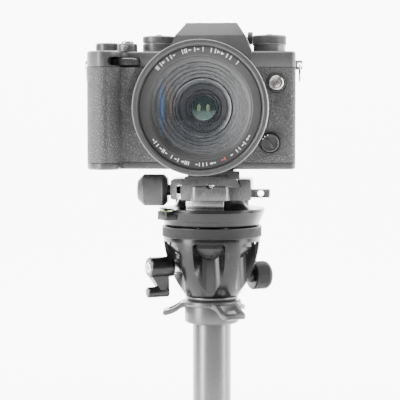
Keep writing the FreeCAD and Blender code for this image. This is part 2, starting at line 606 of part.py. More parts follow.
def zoom_lens():
    axis = (0, 0, d.camera_base + d.lens_height)
    core, slide, front = d.barrel_radius, d.slide_radius, d.lens_front
    profiles = {
        "lens_mount": [(24.5, 16), (33.6, 16), (34.4, 16.8), (34.4, 19), (24.5, 19)],
        "lens_barrel": [(26, 19), (33.6, 19), (34.8, 20), (35.2, 29.8), (35.2, 30.7), (core, 30.7),
                        (core, 69.3), (36.4, 69.3), (36.4, 75.7), (core, 75.7), (core, 97.3), (37.4, 97.3),
                        (37.4, 100), (slide + d.gap, 100), (slide + d.gap, 24), (26, 24)],
        "aperture_ring": [(core + d.running, 31), (36.2, 31), (36.8, 31.6), (36.8, 40.8), (36.2, 41.4),
                          (core + d.running, 41.4)],
        "zoom_ring": [(core + d.running, 42), (37.2, 42), (38.0, 42.8), (38.0, 68.2), (37.2, 69),
                      (core + d.running, 69)],
        "focus_ring": [(core + d.running, 76), (37.6, 76), (38.3, 76.7), (38.3, 96.3), (37.6, 97),
                       (core + d.running, 97)],
        "inner_barrel": [(29.6, 50), (slide, 50), (slide, 100.5), (38.6, 100.5), (d.front_radius, 101),
                         (d.front_radius, front - 0.5), (38.7, front), (36.6, front), (36.0, front - 0.6),
                         (36.0, front - 2.7), (35.5, front - 2.7), (35.5, 103.4), (29.6, 103.4)],
        "retaining_ring": [(28.2, 103.4), (35.4, 103.4), (35.4, 105.8), (29.8, 105.3), (28.4, 104.2)],
    }
    for name, profile in profiles.items():
        node(name, turned(profile), axis, FORWARD)
    apex, curvature = 104.6, 117.0
    dome = common(cylinder(d.glass_radius + 0.3, 12, (0, 0, 95)), sphere(curvature, (0, 0, apex - curvature)))
    node("front_lens", dome, axis, FORWARD)


hub()
column_lock()
legs()
column()
head_housing()
head_controls()
ball_and_dish()
clamp()
release_plate()
body_shells()
top_cover()
camera_controls()
zoom_lens()
export()
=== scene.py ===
import json
import math
import random

import bmesh
import bpy
from mathutils import Matrix, Vector


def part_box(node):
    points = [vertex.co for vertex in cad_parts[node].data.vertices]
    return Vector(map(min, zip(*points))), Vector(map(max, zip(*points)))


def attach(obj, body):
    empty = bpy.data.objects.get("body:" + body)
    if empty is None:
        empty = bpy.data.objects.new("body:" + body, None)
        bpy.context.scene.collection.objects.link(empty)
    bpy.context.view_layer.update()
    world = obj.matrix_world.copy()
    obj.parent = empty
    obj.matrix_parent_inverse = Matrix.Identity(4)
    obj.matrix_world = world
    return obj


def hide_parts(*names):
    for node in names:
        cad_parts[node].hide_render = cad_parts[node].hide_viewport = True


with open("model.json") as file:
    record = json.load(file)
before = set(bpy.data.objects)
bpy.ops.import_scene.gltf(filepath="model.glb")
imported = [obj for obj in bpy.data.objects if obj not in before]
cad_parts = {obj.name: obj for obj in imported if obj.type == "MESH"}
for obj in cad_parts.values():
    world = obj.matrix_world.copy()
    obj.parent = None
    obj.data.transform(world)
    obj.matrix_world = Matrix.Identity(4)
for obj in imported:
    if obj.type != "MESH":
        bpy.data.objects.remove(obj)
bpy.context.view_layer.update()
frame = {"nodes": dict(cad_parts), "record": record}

# A mirrorless camera and zoom lens on a clamp, a levelling head and a short tripod.
# Shapes are drawn in millimetres and become metres with their mesh. A bump's depth is in millimetres.
# Texture scales, painted reflection bands, lights and the camera are in metres.

MM = 0.001
SMOOTH_BELOW = 32            # degrees: a flatter edge is shaded smooth
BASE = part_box("bottom_cover")[0].z / MM            # the camera's base plane above the floor
LENS_UP = (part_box("lens_barrel")[0].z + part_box("lens_barrel")[1].z) / 2 / MM
random.seed(7)


def linear(level):
    """A display level from 0 to 255 as linear light."""
    value = level / 255
    return value / 12.92 if value <= 0.04045 else ((value + 0.055) / 1.055) ** 2.4


def grey(level, warm=0.0):
    """A near-neutral colour, a little warm or cool."""
    light = linear(level)
    return (light * (1 + warm), light, light * (1 - warm), 1.0)


# ---- materials --------------------------------------------------------------------------------------------

class Nodes:
    """A material's node tree with short ways to add and join nodes."""

    def __init__(self, name):
        self.material = bpy.data.materials.new(name)
        self.material.use_nodes = True
        self.tree = self.material.node_tree
        self.shader = self.tree.nodes["Principled BSDF"]
        self.place = self.add("ShaderNodeTexCoord").outputs["Object"]

    def add(self, kind, **settings):
        item = self.tree.nodes.new(kind)
        for key, setting in settings.items():
            if key in item.inputs:
                item.inputs[key].default_value = setting
            else:
                setattr(item, key, setting)
        return item

    def join(self, output, target):
        self.tree.links.new(output, target)

    def noise(self, scale, detail=3.0, rough=0.55, vector=None):
        item = self.add("ShaderNodeTexNoise", Scale=scale, Detail=detail, Roughness=rough)
        self.join(vector or self.place, item.inputs["Vector"])
        return item.outputs["Fac"]

    def stretched(self, scale):
        item = self.add("ShaderNodeMapping", Scale=scale)
        self.join(self.place, item.inputs["Vector"])
        return item.outputs["Vector"]

    def remap(self, value, low, high, to_low, to_high):
        item = self.add("ShaderNodeMapRange")
        for socket, amount in zip(("From Min", "From Max", "To Min", "To Max"), (low, high, to_low, to_high)):
            item.inputs[socket].default_value = amount
        self.join(value, item.inputs["Value"])
        return item.outputs["Result"]

    def mix(self, factor, first, second):
        item = self.add("ShaderNodeMix", data_type="RGBA")
        self.join(factor, item.inputs[0])
        for socket, colour in ((item.inputs[6], first), (item.inputs[7], second)):
            if isinstance(colour, tuple):
                socket.default_value = colour
            else:
                self.join(colour, socket)
        return item.outputs[2]

    def bump(self, height, depth_mm, previous=None):
        item = self.add("ShaderNodeBump", Distance=depth_mm * MM, Strength=1.0)
        self.join(height, item.inputs["Height"])
        if previous:
            self.join(previous, item.inputs["Normal"])
        return item.outputs["Normal"]


def shaded(colour, factor):
    return (colour[0] * factor, colour[1] * factor, colour[2] * factor, 1.0)


MOTTLE = 0.12                # how far a painted colour wanders from its own
SHEEN_SPREAD = 0.08          # how far its roughness wanders


def finish_of(name, colour, rough, metal=0.0, grain=2600, depth=0.012):
    """Painted, anodised or moulded surface: fine grain, clouded colour and uneven sheen."""
    nodes = Nodes(name)
    shader = nodes.shader
    cloud = nodes.noise(90, 4)
    tone = nodes.mix(cloud, shaded(colour, 1 - MOTTLE), shaded(colour, 1 + MOTTLE))
    smear = nodes.noise(38, 6, 0.7, nodes.stretched((1, 1, 0.35)))
    nodes.join(tone, shader.inputs["Base Color"])
    sheen = nodes.remap(smear, 0.3, 0.75, rough - SHEEN_SPREAD, rough + SHEEN_SPREAD)
    nodes.join(sheen, shader.inputs["Roughness"])
    fine = nodes.bump(nodes.noise(grain, 2), depth)
    nodes.join(nodes.bump(nodes.noise(420, 3), depth * 1.2, fine), shader.inputs["Normal"])
    shader.inputs["Metallic"].default_value = metal
    shader.inputs["Specular IOR Level"].default_value = 0.5
    return nodes.material


def brushed(name, colour, rough, along=(1, 1, 30), metal=1.0):
    """Turned or brushed metal with fine lines along one direction."""
    nodes = Nodes(name)
    shader = nodes.shader
    lines = nodes.noise(900, 3, 0.6, nodes.stretched(along))
    nodes.join(nodes.mix(lines, shaded(colour, 0.82), shaded(colour, 1.12)), shader.inputs["Base Color"])
    nodes.join(nodes.remap(lines, 0.3, 0.7, rough - 0.08, rough + 0.1), shader.inputs["Roughness"])
    nodes.join(nodes.bump(lines, 0.01), shader.inputs["Normal"])
    shader.inputs["Metallic"].default_value = metal
    return nodes.material


def leatherette(name, colour):
    """Moulded pebble grain: rounded cells of uneven size with soft creases between them, the colour painted
    darker in the creases as shade.
    """
    warp_reach = 0.6 * MM
    nodes = Nodes(name)
    shader = nodes.shader
    warp = nodes.add("ShaderNodeTexNoise", Scale=500.0, Detail=2.0)
    nodes.join(nodes.place, warp.inputs["Vector"])
    shifted = nodes.add("ShaderNodeVectorMath", operation="MULTIPLY_ADD")
    nodes.join(warp.outputs["Color"], shifted.inputs[0])
    shifted.inputs[1].default_value = (warp_reach, warp_reach, warp_reach)
    nodes.join(nodes.place, shifted.inputs[2])
    cells = nodes.add("ShaderNodeTexVoronoi", feature="DISTANCE_TO_EDGE", Scale=540.0)
    nodes.join(shifted.outputs["Vector"], cells.inputs["Vector"])
    pebble = nodes.remap(cells.outputs["Distance"], 0.0, 0.32, 0.0, 1.0)
    # painted shade: darker in the creases between pebbles, a little lighter on their tops
    nodes.join(nodes.mix(pebble, shaded(colour, 0.62), shaded(colour, 1.1)), shader.inputs["Base Color"])
    nodes.join(nodes.remap(pebble, 0.0, 1.0, 0.75, 0.48), shader.inputs["Roughness"])
    coarse = nodes.bump(pebble, 0.30)
    nodes.join(nodes.bump(nodes.noise(3200, 2), 0.02, coarse), shader.inputs["Normal"])
    shader.inputs["Specular IOR Level"].default_value = 0.45
    return nodes.material


def rubber(name, colour, rough=0.68):
    """Matte rubber with a dusty bloom in patches."""
    nodes = Nodes(name)
    shader = nodes.shader
    dust = nodes.noise(160, 6, 0.65)
    nodes.join(nodes.mix(dust, shaded(colour, 0.8), shaded(colour, 1.35)), shader.inputs["Base Color"])
    nodes.join(nodes.remap(dust, 0.3, 0.7, rough - 0.08, rough + 0.14), shader.inputs["Roughness"])
    nodes.join(nodes.bump(nodes.noise(1800, 4), 0.03), shader.inputs["Normal"])
    shader.inputs["Specular IOR Level"].default_value = 0.35
    return nodes.material


def painted_glints(name):
    """The inside of a lens barrel, with a tan and a blue band on its left: painted reflections, in the
    baffle's colour, of the left lamp in the lens's coatings.
    """
    # painted reflections: each band's place across the lens and its colour, fading above and below the lens's
    # axis
    glint_bands = ((-0.0190, (0.17, 0.11, 0.07, 1.0)), (-0.0232, (0.07, 0.15, 0.30, 1.0)))
    band_core, band_edge = 0.0004, 0.0018
    fade_start, fade_end = 0.004, 0.017
    nodes = Nodes(name)
    shader = nodes.shader
    split = nodes.add("ShaderNodeSeparateXYZ")
    nodes.join(nodes.place, split.inputs[0])
    height = nodes.add("ShaderNodeMath", operation="SUBTRACT")
    nodes.join(split.outputs["Z"], height.inputs[0])
    height.inputs[1].default_value = LENS_UP * MM
    away = nodes.add("ShaderNodeMath", operation="ABSOLUTE")
    nodes.join(height.outputs[0], away.inputs[0])
    level = nodes.remap(away.outputs[0], fade_start, fade_end, 1.0, 0.0)
    cloud = nodes.noise(700, 3)
    tone = nodes.mix(cloud, grey(70), grey(96))
    # each band is a painted reflection mixed into the baffle colour
    for centre, hue in glint_bands:
        offset = nodes.add("ShaderNodeMath", operation="SUBTRACT")
        nodes.join(split.outputs["X"], offset.inputs[0])
        offset.inputs[1].default_value = centre
        reach = nodes.add("ShaderNodeMath", operation="ABSOLUTE")
        nodes.join(offset.outputs[0], reach.inputs[0])
        both = nodes.add("ShaderNodeMath", operation="MULTIPLY")
        nodes.join(nodes.remap(reach.outputs[0], band_core, band_edge, 0.8, 0.0), both.inputs[0])
        nodes.join(level, both.inputs[1])
        tone = nodes.mix(both.outputs[0], tone, hue)
    nodes.join(tone, shader.inputs["Base Color"])
    nodes.join(nodes.remap(cloud, 0.3, 0.7, 0.3, 0.45), shader.inputs["Roughness"])
    nodes.join(nodes.bump(nodes.noise(600, 2), 0.004), shader.inputs["Normal"])
    shader.inputs["Metallic"].default_value = 0.2
    return nodes.material


def glass(name, colour, rough=0.02, tint=None, alpha=1.0):
    """Optical glass: a smooth body, clear where alpha is low, under a coating that reflects a faint hue."""
    nodes = Nodes(name)
    shader = nodes.shader
    haze = nodes.remap(nodes.noise(25, 2), 0.3, 0.7, rough, rough + 0.02)
    nodes.join(haze, shader.inputs["Roughness"])
    tone = nodes.mix(nodes.noise(60, 2), shaded(colour, 0.8), shaded(colour, 1.2))
    nodes.join(tone, shader.inputs["Base Color"])
    shader.inputs["IOR"].default_value = 1.55
    shader.inputs["Coat Weight"].default_value = 1.0
    shader.inputs["Coat Roughness"].default_value = 0.01
    shader.inputs["Alpha"].default_value = alpha
    if tint:
        shader.inputs["Coat Tint"].default_value = tint
        shader.inputs["Specular Tint"].default_value = tint
    return nodes.material


MATERIALS = {
    "cover": finish_of("cover_metal", grey(84), 0.4, 0.4, grain=3000, depth=0.02),
    "cover_dark": finish_of("cover_dark", grey(56), 0.42, 0.2, grain=3000, depth=0.02),
    "covering": leatherette("covering", grey(84)),
    "dial": finish_of("dial_metal", grey(104), 0.32, 0.45),
    "chrome": brushed("chrome_trim", grey(205, 0.01), 0.16),
    "steel": brushed("steel", grey(175, 0.005), 0.3),
    "lens": finish_of("lens_black", grey(72), 0.36, 0.4),
    "lens_edge": finish_of("lens_edge", grey(120), 0.28, 0.6),
    "ring_rubber": rubber("ring_rubber", grey(62)),
    "eyecup": rubber("eyecup_rubber", grey(58), 0.72),
    "rubber": rubber("foot_rubber", grey(58), 0.75),
    "black": finish_of("head_black", grey(24), 0.24, 0.4, grain=2200, depth=0.008),
    "knurl": finish_of("knurl_black", grey(30), 0.34, 0.4),
    "grip": finish_of("clamp_knob_grey", grey(84), 0.36, 0.5),
    "clamp": finish_of("clamp_grey", grey(100), 0.28, 0.55),
    "clamp_dark": finish_of("clamp_dark", grey(66), 0.3, 0.5),
    "pad": brushed("pad_metal", grey(190), 0.25, (1, 1, 40)),
    "tripod": finish_of("tripod_grey", grey(88), 0.34, 0.5),
    "column": brushed("column_metal", grey(112), 0.3, (40, 40, 1), 0.6),
    "nickel": brushed("nickel", grey(215, 0.03), 0.2, (1, 1, 20)),
    "ink": finish_of("white_ink", grey(225), 0.5),
    "red": finish_of("red_ink", (0.55, 0.12, 0.08, 1.0), 0.5),
    "glass": glass("finder_glass", (0.010, 0.011, 0.014, 1.0), 0.02, (0.75, 0.85, 1.0, 1.0)),
    "screen": glass("screen_glass", (0.006, 0.007, 0.009, 1.0), 0.10),
    "baffle": finish_of("baffle_black", grey(58), 0.55, 0.1, grain=500, depth=0.0005),
    # painted reflections: the baffles carry tan and blue bands painted into their colour
    "painted_glints": painted_glints("painted_glints_baffle"),
    "clear": glass("clear_front", (0.05, 0.055, 0.065, 1.0), 0.01, (0.9, 0.95, 1.0, 1.0), 0.09),
    "deep_glass": glass("deep_glass", (0.010, 0.022, 0.020, 1.0), 0.02, (0.6, 1.0, 0.85, 1.0)),
    # painted reflection: the colour of the discs that stand for reflections inside the lens
    "flare": finish_of("painted_coating_reflection", (0.22, 0.30, 0.16, 1.0), 0.3),
    "vial": glass("vial_green", (0.35, 0.62, 0.12, 1.0), 0.03),
    "sensor": glass("sensor_glass", (0.02, 0.05, 0.05, 1.0), 0.05, (0.6, 0.9, 1.0, 1.0)),
    "plastic": finish_of("moulded_plastic", grey(52), 0.5, 0.0, depth=0.02),
}


# ---- shapes -----------------------------------------------------------------------------------------------

def at(x=0.0, y=0.0, up=0.0):
    """A frame at a point measured from the camera's base plane, its Z up."""
    return Matrix.Translation((x, y, BASE + up))


FORWARD = Matrix.Rotation(math.radians(90), 4, "X")      # local Z towards -Y
BACKWARD = Matrix.Rotation(math.radians(-90), 4, "X")
SIDEWAYS = Matrix.Rotation(math.radians(90), 4, "Y")     # local Z towards +X
LENS = at(0, 0, LENS_UP - BASE) @ FORWARD


def radial(angle, up):
    """A frame on the column's axis whose Z points outwards at an angle from the front towards +X."""
    return at(0, 0, up) @ Matrix.Rotation(math.radians(angle), 4, "Z") @ FORWARD


def mesh_object(name, build, material, sharp=SMOOTH_BELOW):
    """Make an object from a bmesh drawn in millimetres."""
    build.normal_update()
    mesh = bpy.data.meshes.new(name)
    build.to_mesh(mesh)
    build.free()
    mesh.transform(Matrix.Scale(MM, 4))
    mesh.materials.append(MATERIALS[material])
    mesh.shade_smooth()
    mesh.set_sharp_from_angle(angle=math.radians(sharp))
    piece = bpy.data.objects.new(name, mesh)
    bpy.context.scene.collection.objects.link(piece)
    return piece


def softened(points, radius, closed):
    """Round every corner of an outline that has room for it."""
    steps = 3
    nearly_straight = math.radians(168)
    result = []
    count = len(points)
    for index, point in enumerate(points):
        here = Vector(point)
        before, after = Vector(points[index - 1]), Vector(points[(index + 1) % count])
        if not closed and index in (0, count - 1):
            result.append(here)
            continue
        into, away = before - here, after - here
        if into.length < 1e-6 or away.length < 1e-6 or into.angle(away) > nearly_straight:
            result.append(here)
            continue
        reach = min(radius, into.length * 0.45, away.length * 0.45)
        start, stop = here + into.normalized() * reach, here + away.normalized() * reach
        for step in range(steps + 1):
            t = step / steps
            result.append(start * (1 - t) ** 2 + here * 2 * t * (1 - t) + stop * t * t)
    return result


def with_rows(points, low, high, step, closed):
    """Divide the upright runs of an outline between two heights, so that a ripple has points to move."""
    upright, slack = 0.25, 1e-6
    dense = []
    count = len(points)
    for index in range(count if closed else count - 1):
        a, b = points[index], points[(index + 1) % count]
        dense.append(a)
        inside = min(a.y, b.y) >= low - slack and max(a.y, b.y) <= high + slack
        if inside and abs(a.x - b.x) < upright:
            parts = max(1, int(abs(b.y - a.y) / step))
            dense += [a.lerp(b, part / parts) for part in range(1, parts)]
    if not closed:
        dense.append(points[-1])
    return dense


def lathe(name, profile, place, material, segments=144, ripple=None, closed=True, soft=0.35, rows=None):
    """Turn a profile of (radius, height) about a frame's Z.

    A ripple changes the radius, and rows, (low, high, step), says where the profile is divided for it.
    """
    points = softened(profile, soft, closed)
    if rows:
        points = with_rows(points, *rows, closed)
    build = bmesh.new()
    rings = []
    for point in points:
        if point.x < 1e-4:
            rings.append([build.verts.new(place @ Vector((0, 0, point.y)))])
            continue
        ring = []
        for index in range(segments):
            theta = 2 * math.pi * index / segments
            radius = point.x + (ripple(theta, point.x, point.y) if ripple else 0.0)
            spot = Vector((radius * math.cos(theta), radius * math.sin(theta), point.y))
            ring.append(build.verts.new(place @ spot))
        rings.append(ring)
    pairs = zip(rings, rings[1:] + rings[:1]) if closed else zip(rings, rings[1:])
    for low_ring, high_ring in pairs:
        for index in range(segments):
            following = (index + 1) % segments
            if len(low_ring) == 1:
                corners = [low_ring[0], high_ring[following], high_ring[index]]
            elif len(high_ring) == 1:
                corners = [low_ring[index], low_ring[following], high_ring[0]]
            else:
                corners = [low_ring[index], low_ring[following], high_ring[following], high_ring[index]]
            build.faces.new(corners)
    bmesh.ops.recalc_face_normals(build, faces=build.faces)
    return mesh_object(name, build, material)


def wave(value):
    """A triangle wave between 0 and 1."""
    return 1 - abs(2 * (value % 1.0) - 1)


def diamonds(count, pitch, depth, low, high, least_radius):
    """A diamond knurl cut between two heights, fading at its ends."""
    def ripple(theta, radius, height):
        if not low <= height <= high or radius < least_radius:
            return 0.0
        around = count * theta / (2 * math.pi)
        fade = min(1.0, (height - low) / 0.3, (high - height) / 0.3)
        ridge = min(wave(around + height / pitch), wave(around - height / pitch))
        return -depth * fade * max(0.0, 1 - 1.6 * ridge)
    return ripple


def ribs(count, depth, low, high, least_radius, duty=0.55):
    """Raised blocks along the axis with grooves between them."""
    steepness = 28.0

    def ripple(theta, radius, height):
        if not low <= height <= high or radius < least_radius:
            return 0.0
        fade = min(1.0, (height - low) / 0.5, (high - height) / 0.5)
        groove = 1 / (1 + math.exp(-steepness * (wave(count * theta / (2 * math.pi)) - duty)))
        return -depth * groove * fade
    return ripple


def block(name, low, high, place, material, bevel=0.4, steps=2):
    """A rounded block between two corners."""
    build = bmesh.new()
    bmesh.ops.create_cube(build, size=1)
    size = [high[i] - low[i] for i in range(3)]
    middle = [(high[i] + low[i]) / 2 for i in range(3)]
    bmesh.ops.scale(build, vec=size, verts=build.verts)
    bmesh.ops.translate(build, vec=middle, verts=build.verts)
    width = min(bevel, min(size) * 0.45)
    bmesh.ops.bevel(build, geom=build.edges[:], offset=width, segments=steps, profile=0.5, affect="EDGES")
    build.transform(place)
    return mesh_object(name, build, material)


def refined(node, material, bevel):
    """A designed part with its edges broken the way the finished part has them."""
    bevel_above = 38
    mesh = frame["nodes"][node].data.copy()
    build = bmesh.new()
    build.from_mesh(mesh)
    bmesh.ops.remove_doubles(build, verts=build.verts, dist=1e-6)
    bmesh.ops.dissolve_limit(build, angle_limit=math.radians(0.4), verts=build.verts, edges=build.edges)
    build.to_mesh(mesh)
    build.free()
    mesh.materials.clear()
    mesh.materials.append(MATERIALS[material])
    piece = bpy.data.objects.new(f"{node}_finished", mesh)
    bpy.context.scene.collection.objects.link(piece)
    if bevel:
        modifier = piece.modifiers.new("edges", "BEVEL")
        modifier.width = bevel * MM
        modifier.segments = 2
        modifier.limit_method = "ANGLE"
        modifier.angle_limit = math.radians(bevel_above)
        modifier.use_clamp_overlap = True
        modifier.harden_normals = False
        applied(piece)
    piece.data.shade_smooth()
    piece.data.set_sharp_from_angle(angle=math.radians(30))
    return piece


def applied(piece):
    """Bake an object's modifiers into its mesh."""
    graph = bpy.context.evaluated_depsgraph_get()
    mesh = bpy.data.meshes.new_from_object(piece.evaluated_get(graph))
    piece.modifiers.clear()
    piece.data = mesh


def joined(name, pieces):
    """One object from several, each keeping its material."""
    target = pieces[0]
    build = bmesh.new()
    materials = []
    for piece in pieces:
        start = len(build.faces)
        build.from_mesh(piece.data)
        build.faces.ensure_lookup_table()
        used = piece.data.materials[0]
        if used not in materials:
            materials.append(used)
        for face in build.faces[start:]:
            face.material_index = materials.index(used)
    mesh = bpy.data.meshes.new(name)
    build.to_mesh(mesh)
    build.free()
    for used in materials:
        mesh.materials.append(used)
    mesh.shade_smooth()
    mesh.set_sharp_from_angle(angle=math.radians(SMOOTH_BELOW))
    for piece in pieces[1:]:
        bpy.data.objects.remove(piece)
    target.data = mesh
    target.name = name
    return target


BODIES = frame["record"]["behaviour"]["bodies"]
BODY_OF = {node: body for body, nodes in BODIES.items() for node in nodes}


def stands_for(piece, node):
    """Let a detailed piece ride with, and replace, a designed node."""
    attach(piece, BODY_OF[node])
    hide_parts(node)


def goes_with(piece, node):
    """Let a small added piece ride with a node's body."""
    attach(piece, BODY_OF[node])


def written(name, items, material):
    """Raised numerals: (text, frame, size in mm) each."""
    raised = 0.06
    pieces = []
    for text, place, size in items:
        curve = bpy.data.curves.new(name, "FONT")
        curve.body = text
        curve.align_x = "CENTER"
        curve.align_y = "CENTER"
        curve.size = size
        curve.extrude = raised
        holder = bpy.data.objects.new(name, curve)
        bpy.context.scene.collection.objects.link(holder)
        bpy.context.view_layer.update()
        graph = bpy.context.evaluated_depsgraph_get()
        mesh = bpy.data.meshes.new_from_object(holder.evaluated_get(graph))
        bpy.data.objects.remove(holder)
        mesh.transform(place)
        mesh.transform(Matrix.Scale(MM, 4))
        mesh.materials.clear()
        mesh.materials.append(MATERIALS[material])
        piece = bpy.data.objects.new(name, mesh)
        bpy.context.scene.collection.objects.link(piece)
        pieces.append(piece)
    return joined(name, pieces)


# ---- designed parts that keep their shape, with broken edges and a finish of their own --------------------

KEPT = {
    "spider": ("tripod", 0.5), "leg_front_left": ("column", 0.5), "leg_front_right": ("column", 0.5),
    "leg_rear": ("column", 0.5), "leg_bolts": ("steel", 0.3), "top_plate": ("tripod", 0.5),
    "column_tube": ("column", 0.3), "plate_collar": ("tripod", 0.4), "head_seat": ("tripod", 0.3),
    "head_housing": ("black", 0.35), "lock_lever": ("black", 0.35), "brake_bushing": ("nickel", 0.2),
    "friction_washer": ("black", 0.0), "level_ball": ("black", 0.2), "level_platform": ("black", 0.3),
    "platform_pads": ("pad", 0.3), "bubble_level": ("vial", 0.2), "clamp_body": ("clamp", 0.4),
    "clamp_jaw": ("clamp", 0.4), "release_plate": ("clamp_dark", 0.35), "plate_screw": ("steel", 0.3),
    "bottom_cover": ("cover", 0.4), "front_casing": ("cover_dark", 0.2), "rear_casing": ("cover", 0.4),
    "top_cover": ("cover", 0.45), "strap_lugs": ("chrome", 0.25), "lens_mount": ("chrome", 0.2),
    "image_sensor": ("sensor", 0.0), "viewfinder_lens": ("glass", 0.3), "battery_door": ("cover", 0.25),
    "strap_ring_left": ("chrome", 0.0), "strap_ring_right": ("chrome", 0.0), "eyecup": ("eyecup", 1.0),
    "body_covering": ("covering", 0.25),
}
for node, (material, bevel) in KEPT.items():
    stands_for(refined(node, material, bevel), node)


def grip_flare():
    """The grip's inner side, which sweeps towards the lens below the front wheel."""
    columns, rows = 56, 84
    left, width = -60.0, 21.0
    bottom, height = 5.0, 59.6
    sweep_from, sweep_height, sweep_reach = 30.0, 34.6, 10.5
    front_face, back_face, proud = -16.7, -16.3, 8.2

    def step(value):
        value = min(1.0, max(0.0, value))
        return value * value * (3 - 2 * value)

    build = bmesh.new()
    sheets = []
    for row in range(rows + 1):
        up = bottom + height * row / rows
        turn = max(0.0, (up - sweep_from) / sweep_height)
        edge = -55.5 + sweep_reach * turn ** 2.0
        line = []
        for column in range(columns + 1):
            x = left + width * column / columns
            bulge = proud * step((edge + 5.5 - x) / 7.5) * (0.25 + 0.75 * step(turn * 2.2))
            line.append((x, front_face - bulge, up))
        sheets.append(line)
    front = [[build.verts.new(at() @ Vector(point)) for point in line] for line in sheets]
    back = [[build.verts.new(at() @ Vector((x, back_face, up))) for x, _, up in line] for line in sheets]
    for side, flip in ((front, False), (back, True)):
        for low, high in zip(side, side[1:]):
            for column in range(columns):
                face = [low[column], low[column + 1], high[column + 1], high[column]]
                build.faces.new(face[::-1] if flip else face)
    border = [(0, c) for c in range(columns)] + [(r, columns) for r in range(rows)]
    border += [(rows, c) for c in range(columns, 0, -1)] + [(r, 0) for r in range(rows, 0, -1)]
    for (r0, c0), (r1, c1) in zip(border, border[1:] + border[:1]):
        build.faces.new([front[r0][c0], back[r0][c0], back[r1][c1], front[r1][c1]])
    bmesh.ops.recalc_face_normals(build, faces=build.faces)
    goes_with(mesh_object("grip_flare", build, "covering", 50), "body_covering")


grip_flare()


# ---- knurled rings and knobs ------------------------------------------------------------------------------

def knurled_parts():
    pitch = 1.16
    ring = [(31.0, -44.0), (32.4, -44.0), (32.4, -37.2), (31.9, -37.2), (31.0, -38.1)]
    liner = [(24.4, -54.1), (25.82, -52.5), (26.85, -51.2), (27.71, -50), (27.71, -46.7), (27.78, -46.7),
             (27.78, -49.95), (26.93, -51.2), (25.9, -52.5), (24.5, -54.1)]
    goes_with(lathe("socket_liner", liner, at(), "black", 192, soft=0.0), "head_housing")
    stands_for(lathe("knurled_ring", ring, at(), "knurl", 1440, diamonds(170, pitch, 0.3, -43.6, -37.6, 32.2),
                     rows=(-43.9, -37.2, 0.19)), "knurled_collar")
    pan = [(0, 17), (4.5, 17), (4.5, 28.9), (8.6, 28.9), (9.4, 29.7), (9.4, 38.6), (8.6, 40.6), (6.6, 41.8),
           (0, 41.8)]
    stands_for(lathe("pan_grip", pan, radial(120, -71.5), "knurl", 384,
                     diamonds(50, pitch, 0.32, 30.2, 38.4, 9.2), closed=False, soft=0.8,
                     rows=(29.9, 38.5, 0.2)), "pan_knob")
    grip = [(0, -48.4), (6.3, -48.4), (10.3, -44.4), (10.3, -31.1), (7.7, -28.5), (3.4, -28.5), (4.2, -25.3),
            (2.45, -25.3), (2.45, 13), (0, 13)]
    stands_for(lathe("clamp_grip", grip, at(0, 0, -14.2) @ SIDEWAYS, "grip", 400,
                     diamonds(56, pitch, 0.32, -43.6, -31.9, 10.1), closed=False, soft=0.7,
                     rows=(-44.0, -31.5, 0.2)), "clamp_knob")
    column = [(0, 13.0), (3.95, 13.0), (3.95, 21.8), (6.5, 21.8), (8.5, 24), (9, 25), (9, 34), (7.5, 36),
              (0, 36)]
    stands_for(lathe("column_grip", column, radial(120, 126 - BASE), "rubber", 288,
                     ribs(18, 0.7, 24.5, 34.5, 8.7), closed=False, soft=0.7,
                     rows=(24.6, 34.4, 0.5)), "column_knob")
    screw = [(0, 29.4), (3.4, 29.4), (3.4, 45.2), (3.0, 45.6), (1.7, 45.6), (1.6, 44.2), (0, 44.0)]
    stands_for(lathe("lever_screw", screw, radial(-60, -62.7), "nickel", 96, closed=False, soft=0.15),
               "lever_bolt")


knurled_parts()


# ---- tripod feet ------------------------------------------------------------------------------------------

def feet():
    spread = 98
    boot = [(0, 0), (6, 0), (8.6, 2.2), (10.3, 5.5), (10.8, 8), (10.7, 12), (10.6, 17), (9.8, 22),
            (8.9, 22.0), (8.7, 12.0), (0, 11.0)]
    for side, angle in (("front_left", -60), ("front_right", 60), ("rear", 180)):
        spin = math.radians(angle)
        place = Matrix.Translation((spread * math.sin(spin), -spread * math.cos(spin), 0))
        stands_for(lathe(f"boot_{side}", boot, place, "rubber", 144, ribs(24, 0.5, 3.5, 16.0, 8.8, 0.6),
                         closed=False, soft=1.2, rows=(2.0, 17.0, 0.6)), f"foot_{side}")


feet()


# ---- zoom lens --------------------------------------------------------------------------------------------

def lens_rings():
    """The barrel and its aperture, zoom and focus rings, each with its own ribs."""
    barrel = [(26, 19), (33.6, 19), (34.8, 20), (35.2, 29.8), (35.2, 30.7), (33, 30.7), (33, 69.3),
              (36.4, 69.3), (36.4, 75.7), (33, 75.7), (33, 97.3), (37.4, 97.3), (37.4, 100), (31.3, 100),
              (31.3, 24), (26, 24)]
    stands_for(lathe("barrel_shell", barrel, LENS, "lens", 256), "lens_barrel")
    aperture = [(33.05, 31), (36.2, 31), (36.8, 31.6), (36.8, 40.8), (36.2, 41.4), (33.05, 41.4)]
    stands_for(lathe("aperture_grip", aperture, LENS, "lens", 1080, ribs(90, 0.55, 34.6, 40.4, 36.6, 0.5),
                     rows=(31.7, 40.7, 0.4)), "aperture_ring")
    zoom = [(33.05, 42), (37.2, 42), (38.0, 42.8), (38.0, 68.2), (37.2, 69), (33.05, 69)]
    stands_for(lathe("zoom_grip", zoom, LENS, "ring_rubber", 960, ribs(64, 0.8, 46.0, 65.0, 37.8, 0.62),
                     rows=(42.9, 68.1, 0.5)), "zoom_ring")
    focus = [(33.05, 76), (37.6, 76), (38.3, 76.7), (38.3, 96.3), (37.6, 97), (33.05, 97)]
    stands_for(lathe("focus_grip", focus, LENS, "ring_rubber", 1200, ribs(120, 0.6, 79.5, 94.0, 38.1, 0.58),
                     rows=(76.8, 96.2, 0.45)), "focus_ring")


